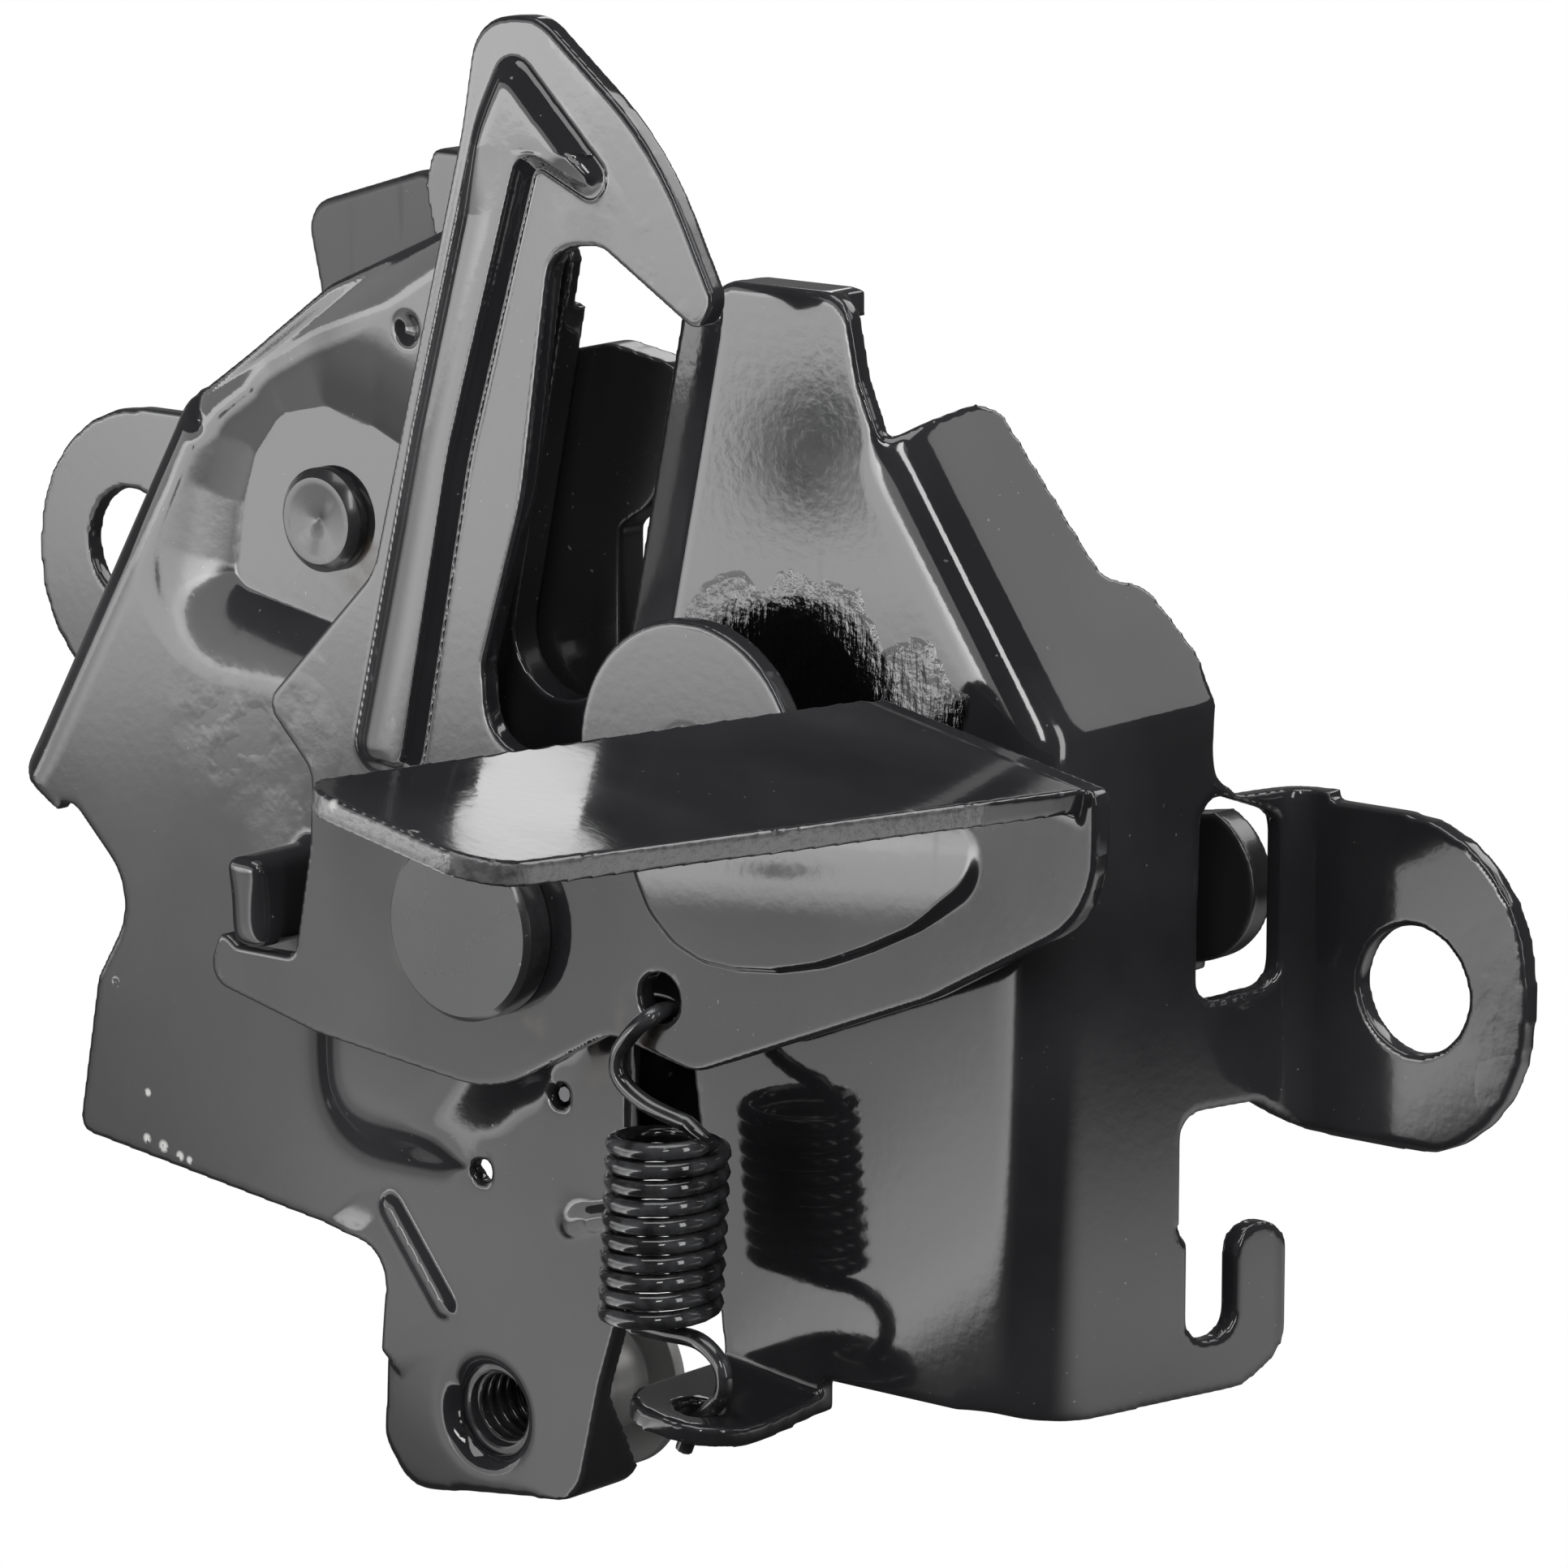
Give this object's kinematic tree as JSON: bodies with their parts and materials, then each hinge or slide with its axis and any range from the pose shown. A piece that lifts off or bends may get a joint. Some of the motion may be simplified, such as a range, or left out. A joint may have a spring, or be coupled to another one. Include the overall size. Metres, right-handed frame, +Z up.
{
  "type": "bonnet latch",
  "caption": "Pressed-steel bonnet latch with a turning claw and pawl, a sprung safety hook lever with a folded handle, two fixing ears and a threaded leg.",
  "frame": {"origin": "centre of the right fixing hole on the rear face of its ear, the face that bears on the car body", "axes": "+X to the right and +Z up seen from the front, +Y backwards through the fixing holes, away from the handle"},
  "size_m": [0.1738, 0.1076, 0.135],
  "materials": {
    "coated_sheet": "gloss black dipped coat with a faint orange peel",
    "coated_lever": "gloss black dipped coat, thin on the cut edges",
    "coated_claw": "satin black coat",
    "coated_rivet": "satin black coat over a spun head",
    "coated_wire": "gloss black coat on spring wire",
    "spring_wire": "drawn wire, lightly oiled",
    "plain_steel": "turned grey steel"
  },
  "bodies": {
    "base": {"base_plate": "coated_sheet", "back_plate": "coated_sheet", "claw_rivet": "coated_rivet", "claw_spring": "spring_wire", "pawl_bush": "plain_steel", "pawl_spring": "spring_wire", "safety_pivot": "coated_rivet", "safety_washer": "plain_steel", "safety_spring": "coated_wire", "leg_bush": "plain_steel"},
    "claw": {"claw": "coated_claw"},
    "pawl": {"pawl": "coated_claw"},
    "lever": {"safety_lever": "coated_lever"}
  },
  "joints": [
    {"name": "claw_turn", "type": "hinge", "parent": "base", "child": "claw", "pos_m": [-0.1016, -0.0278, 0.0324], "axis": [0, 1, 0], "range_deg": [0, 49], "stiffness_Nm_per_rad": 0.3, "springref_deg": -34.38, "deforming": ["claw_spring"]},
    {"name": "pawl_turn", "type": "hinge", "parent": "base", "child": "pawl", "pos_m": [-0.075, -0.0278, 0.0009], "axis": [0, 1, 0], "range_deg": [-12, 10], "stiffness_Nm_per_rad": 0.3, "deforming": ["pawl_spring"]},
    {"name": "safety_turn", "type": "hinge", "parent": "base", "child": "lever", "pos_m": [-0.075, -0.0278, 0.0009], "axis": [0, -1, 0], "range_deg": [0, 22], "stiffness_Nm_per_rad": 0.8, "springref_deg": -22.92, "deforming": ["safety_spring"]}
  ]
}
